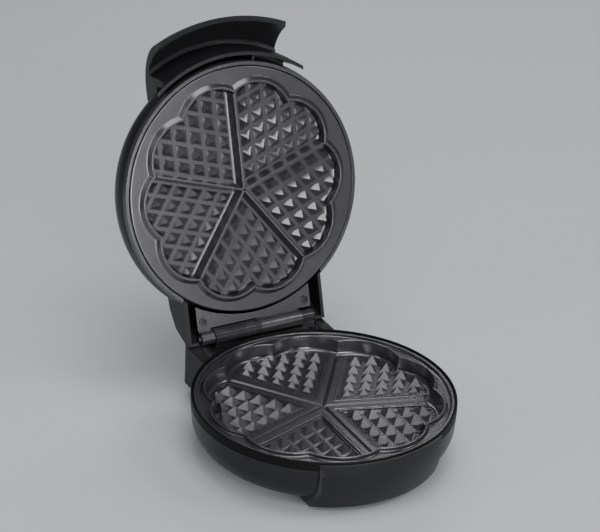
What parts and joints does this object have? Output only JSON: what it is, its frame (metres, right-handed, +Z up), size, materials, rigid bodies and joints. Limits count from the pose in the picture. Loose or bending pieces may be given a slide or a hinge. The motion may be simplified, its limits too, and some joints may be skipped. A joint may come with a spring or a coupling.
{
  "type": "waffle maker",
  "caption": "Round heart-waffle maker with a hinged domed lid, deep patterned non-stick plates, an overhanging handle and a front lug.",
  "frame": {"origin": "on the table, in the middle of the open object as seen from above; the plate centre is 49.8 mm behind it", "axes": "+Z up, -Y towards the handle side (front), +Y towards the hinge, X along the hinge pin"},
  "size_m": [0.1918, 0.2952, 0.2678],
  "materials": {
    "casing": "satin black moulded plastic",
    "nonstick": "dark grey non-stick coated cast aluminium",
    "hinge_black": "glossy black steel",
    "steel": "plain steel",
    "screw": "blackened steel",
    "reflector": "bright rolled sheet",
    "element": "oxidised steel tube",
    "ceramic": "white ceramic",
    "lead": "silicone sleeve",
    "foot": "matt rubber",
    "gland": "flexible black plastic",
    "lamp_red": "clear red lens",
    "lamp_green": "clear green lens"
  },
  "bodies": {
    "base": {"lower_plate": "nonstick", "lower_housing": "casing", "base_band": "casing", "bottom_cover": "casing", "front_lug": "casing", "bottom_screws": "screw", "lower_plate_screws": "screw", "hinge_leaf_screws": "screw", "front_feet": "foot", "rear_feet": "foot", "cord_gland": "gland", "lower_reflector": "reflector", "plate_posts": "steel", "hinge_pin": "steel", "spacer_ring": "hinge_black", "hinge_leaf": "hinge_black", "lower_heating_element": "element", "thermostat": "steel", "thermal_fuse": "ceramic", "terminal_block": "ceramic", "base_leads": "lead"},
    "lid": {"lid_bracket": "nonstick", "bracket_screws": "screw", "upper_plate": "nonstick", "lid_shell": "casing", "lid_rim": "nonstick", "handle": "casing", "upper_heating_element": "element", "upper_reflector": "reflector", "power_lamp": "lamp_red", "ready_lamp": "lamp_green"}
  },
  "joints": [
    {"name": "lid_hinge", "type": "hinge", "parent": "base", "child": "lid", "pos_m": [0, 0.0552, 0.0469], "axis": [1, 0, 0], "range_deg": [0, 106.7]}
  ]
}
